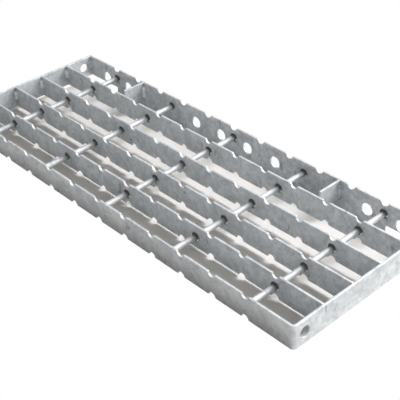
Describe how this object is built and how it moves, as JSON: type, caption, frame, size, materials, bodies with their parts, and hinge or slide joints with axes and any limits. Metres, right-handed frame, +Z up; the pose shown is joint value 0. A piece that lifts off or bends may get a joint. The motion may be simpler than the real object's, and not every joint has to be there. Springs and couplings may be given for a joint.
{
  "type": "metal stair tread",
  "caption": "Welded open-grid stair tread of notched flat bars on edge, joined by round cross rods, with bolt holes in its end plates and its deeper back bar.",
  "frame": {"origin": "under the middle of the tread, on the plane of the back bar's lower edge", "axes": "+X along the tread to the right seen from its front, +Y from front to back, +Z up out of the walking face"},
  "size_m": [0.51, 0.1838, 0.035],
  "materials": {
    "galvanised_bar": "hot-dip galvanised, mottled satin grey",
    "galvanised_rod": "hot-dip galvanised, smooth bright grey",
    "galvanised_weld": "hot-dip galvanised over weld metal"
  },
  "bodies": {
    "root": {"u_frame": "galvanised_bar", "back_bar": "galvanised_bar", "inner_bar_2": "galvanised_bar", "inner_bar_3": "galvanised_bar", "inner_bar_4": "galvanised_bar", "inner_bar_5": "galvanised_bar", "short_plate_left": "galvanised_bar", "short_plate_right": "galvanised_bar", "cross_rod_1": "galvanised_rod", "cross_rod_2": "galvanised_rod", "cross_rod_3": "galvanised_rod", "cross_rod_4": "galvanised_rod", "cross_rod_5": "galvanised_rod", "cross_rod_1_tacks": "galvanised_weld", "cross_rod_2_tacks": "galvanised_weld", "cross_rod_3_tacks": "galvanised_weld", "cross_rod_4_tacks": "galvanised_weld", "cross_rod_5_tacks": "galvanised_weld", "end_weld_2_left": "galvanised_weld", "end_weld_2_right": "galvanised_weld", "end_weld_3_left": "galvanised_weld", "end_weld_3_right": "galvanised_weld", "end_weld_4_left": "galvanised_weld", "end_weld_4_right": "galvanised_weld", "end_weld_5_left": "galvanised_weld", "end_weld_5_right": "galvanised_weld", "end_weld_6_left": "galvanised_weld", "end_weld_6_right": "galvanised_weld", "short_plate_left_weld": "galvanised_weld", "short_plate_right_weld": "galvanised_weld"}
  },
  "joints": []
}
